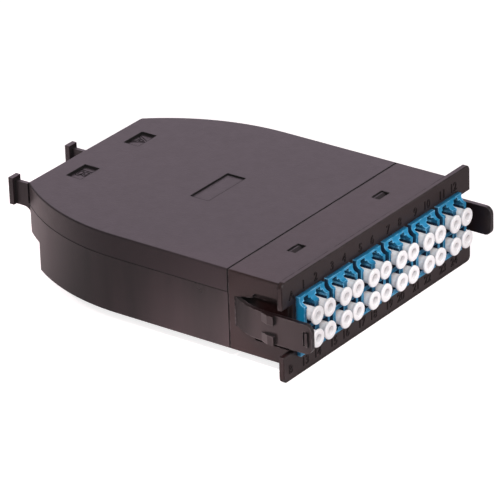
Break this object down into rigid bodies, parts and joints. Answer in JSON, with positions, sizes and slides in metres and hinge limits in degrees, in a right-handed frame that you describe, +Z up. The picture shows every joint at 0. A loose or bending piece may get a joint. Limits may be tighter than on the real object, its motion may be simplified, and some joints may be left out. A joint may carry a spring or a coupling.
{
  "type": "fibre optic cassette",
  "caption": "Black cassette housing with a front panel of blue duplex fibre adapters, white dust caps, sprung side latches, and trunk ports and tie posts at the rear.",
  "frame": {"origin": "middle of the footprint, level with the front panel's lower edge", "axes": "+X to the panel's right seen from the rear, -Y out of the front panel, +Z up"},
  "size_m": [0.1, 0.1308, 0.033],
  "materials": {
    "frame_plastic": "moulded black plastic, satin",
    "tray_plastic": "moulded black plastic, fine satin texture",
    "cover_plastic": "moulded black plastic, fine satin texture",
    "adapter_blue": "moulded blue plastic, satin",
    "cap_white": "soft white plastic",
    "plug_blue": "moulded blue plastic",
    "trunk_black": "moulded black plastic",
    "cap_black": "soft black plastic",
    "trunk_plug_green": "moulded green plastic",
    "fibre_yellow": "yellow fibre sheath"
  },
  "bodies": {
    "housing": {"front_frame": "frame_plastic", "base_tray": "tray_plastic", "top_cover": "cover_plastic", "lc_adapter_1": "adapter_blue", "lc_adapter_2": "adapter_blue", "lc_adapter_3": "adapter_blue", "lc_adapter_4": "adapter_blue", "lc_adapter_5": "adapter_blue", "lc_adapter_6": "adapter_blue", "lc_plug_a1": "plug_blue", "lc_plug_a2": "plug_blue", "lc_plug_a3": "plug_blue", "lc_plug_a4": "plug_blue", "lc_plug_a5": "plug_blue", "lc_plug_a6": "plug_blue", "lc_plug_b1": "plug_blue", "lc_plug_b2": "plug_blue", "lc_plug_b3": "plug_blue", "lc_plug_b4": "plug_blue", "lc_plug_b5": "plug_blue", "lc_plug_b6": "plug_blue", "trunk_adapter_a": "trunk_black", "trunk_adapter_b": "trunk_black", "trunk_plug_a": "trunk_plug_green", "trunk_plug_b": "trunk_plug_green", "fibre_harness_a": "fibre_yellow", "fibre_harness_b": "fibre_yellow"},
    "left_latch": {"left_latch": "frame_plastic"},
    "right_latch": {"right_latch": "frame_plastic"},
    "dust_cap_a01": {"dust_cap_a01": "cap_white"},
    "dust_cap_a02": {"dust_cap_a02": "cap_white"},
    "dust_cap_a03": {"dust_cap_a03": "cap_white"},
    "dust_cap_a04": {"dust_cap_a04": "cap_white"},
    "dust_cap_a05": {"dust_cap_a05": "cap_white"},
    "dust_cap_a06": {"dust_cap_a06": "cap_white"},
    "dust_cap_a07": {"dust_cap_a07": "cap_white"},
    "dust_cap_a08": {"dust_cap_a08": "cap_white"},
    "dust_cap_a09": {"dust_cap_a09": "cap_white"},
    "dust_cap_a10": {"dust_cap_a10": "cap_white"},
    "dust_cap_a11": {"dust_cap_a11": "cap_white"},
    "dust_cap_a12": {"dust_cap_a12": "cap_white"},
    "dust_cap_b13": {"dust_cap_b13": "cap_white"},
    "dust_cap_b14": {"dust_cap_b14": "cap_white"},
    "dust_cap_b15": {"dust_cap_b15": "cap_white"},
    "dust_cap_b16": {"dust_cap_b16": "cap_white"},
    "dust_cap_b17": {"dust_cap_b17": "cap_white"},
    "dust_cap_b18": {"dust_cap_b18": "cap_white"},
    "dust_cap_b19": {"dust_cap_b19": "cap_white"},
    "dust_cap_b20": {"dust_cap_b20": "cap_white"},
    "dust_cap_b21": {"dust_cap_b21": "cap_white"},
    "dust_cap_b22": {"dust_cap_b22": "cap_white"},
    "dust_cap_b23": {"dust_cap_b23": "cap_white"},
    "dust_cap_b24": {"dust_cap_b24": "cap_white"},
    "trunk_cap_a": {"trunk_cap_a": "cap_black"},
    "trunk_cap_b": {"trunk_cap_b": "cap_black"}
  },
  "joints": [
    {"name": "left_latch_squeeze", "type": "hinge", "parent": "housing", "child": "left_latch", "pos_m": [-0.04405, -0.0353, 0.0165], "axis": [0, 0, 1], "range_deg": [0, 6.5], "stiffness_Nm_per_rad": 0.05},
    {"name": "right_latch_squeeze", "type": "hinge", "parent": "housing", "child": "right_latch", "pos_m": [0.04405, -0.0353, 0.0165], "axis": [0, 0, -1], "range_deg": [0, 6.5], "stiffness_Nm_per_rad": 0.05},
    {"name": "dust_cap_a01_pull", "type": "slide", "parent": "housing", "child": "dust_cap_a01", "axis": [0, -1, 0], "range_m": [0, 0.0075]},
    {"name": "dust_cap_a02_pull", "type": "slide", "parent": "housing", "child": "dust_cap_a02", "axis": [0, -1, 0], "range_m": [0, 0.0075]},
    {"name": "dust_cap_a03_pull", "type": "slide", "parent": "housing", "child": "dust_cap_a03", "axis": [0, -1, 0], "range_m": [0, 0.0075]},
    {"name": "dust_cap_a04_pull", "type": "slide", "parent": "housing", "child": "dust_cap_a04", "axis": [0, -1, 0], "range_m": [0, 0.0075]},
    {"name": "dust_cap_a05_pull", "type": "slide", "parent": "housing", "child": "dust_cap_a05", "axis": [0, -1, 0], "range_m": [0, 0.0075]},
    {"name": "dust_cap_a06_pull", "type": "slide", "parent": "housing", "child": "dust_cap_a06", "axis": [0, -1, 0], "range_m": [0, 0.0075]},
    {"name": "dust_cap_a07_pull", "type": "slide", "parent": "housing", "child": "dust_cap_a07", "axis": [0, -1, 0], "range_m": [0, 0.0075]},
    {"name": "dust_cap_a08_pull", "type": "slide", "parent": "housing", "child": "dust_cap_a08", "axis": [0, -1, 0], "range_m": [0, 0.0075]},
    {"name": "dust_cap_a09_pull", "type": "slide", "parent": "housing", "child": "dust_cap_a09", "axis": [0, -1, 0], "range_m": [0, 0.0075]},
    {"name": "dust_cap_a10_pull", "type": "slide", "parent": "housing", "child": "dust_cap_a10", "axis": [0, -1, 0], "range_m": [0, 0.0075]},
    {"name": "dust_cap_a11_pull", "type": "slide", "parent": "housing", "child": "dust_cap_a11", "axis": [0, -1, 0], "range_m": [0, 0.0075]},
    {"name": "dust_cap_a12_pull", "type": "slide", "parent": "housing", "child": "dust_cap_a12", "axis": [0, -1, 0], "range_m": [0, 0.0075]},
    {"name": "dust_cap_b13_pull", "type": "slide", "parent": "housing", "child": "dust_cap_b13", "axis": [0, -1, 0], "range_m": [0, 0.0075]},
    {"name": "dust_cap_b14_pull", "type": "slide", "parent": "housing", "child": "dust_cap_b14", "axis": [0, -1, 0], "range_m": [0, 0.0075]},
    {"name": "dust_cap_b15_pull", "type": "slide", "parent": "housing", "child": "dust_cap_b15", "axis": [0, -1, 0], "range_m": [0, 0.0075]},
    {"name": "dust_cap_b16_pull", "type": "slide", "parent": "housing", "child": "dust_cap_b16", "axis": [0, -1, 0], "range_m": [0, 0.0075]},
    {"name": "dust_cap_b17_pull", "type": "slide", "parent": "housing", "child": "dust_cap_b17", "axis": [0, -1, 0], "range_m": [0, 0.0075]},
    {"name": "dust_cap_b18_pull", "type": "slide", "parent": "housing", "child": "dust_cap_b18", "axis": [0, -1, 0], "range_m": [0, 0.0075]},
    {"name": "dust_cap_b19_pull", "type": "slide", "parent": "housing", "child": "dust_cap_b19", "axis": [0, -1, 0], "range_m": [0, 0.0075]},
    {"name": "dust_cap_b20_pull", "type": "slide", "parent": "housing", "child": "dust_cap_b20", "axis": [0, -1, 0], "range_m": [0, 0.0075]},
    {"name": "dust_cap_b21_pull", "type": "slide", "parent": "housing", "child": "dust_cap_b21", "axis": [0, -1, 0], "range_m": [0, 0.0075]},
    {"name": "dust_cap_b22_pull", "type": "slide", "parent": "housing", "child": "dust_cap_b22", "axis": [0, -1, 0], "range_m": [0, 0.0075]},
    {"name": "dust_cap_b23_pull", "type": "slide", "parent": "housing", "child": "dust_cap_b23", "axis": [0, -1, 0], "range_m": [0, 0.0075]},
    {"name": "dust_cap_b24_pull", "type": "slide", "parent": "housing", "child": "dust_cap_b24", "axis": [0, -1, 0], "range_m": [0, 0.0075]},
    {"name": "trunk_cap_a_pull", "type": "slide", "parent": "housing", "child": "trunk_cap_a", "axis": [0, 1, 0], "range_m": [0, 0.0085]},
    {"name": "trunk_cap_b_pull", "type": "slide", "parent": "housing", "child": "trunk_cap_b", "axis": [0, 1, 0], "range_m": [0, 0.0085]}
  ]
}
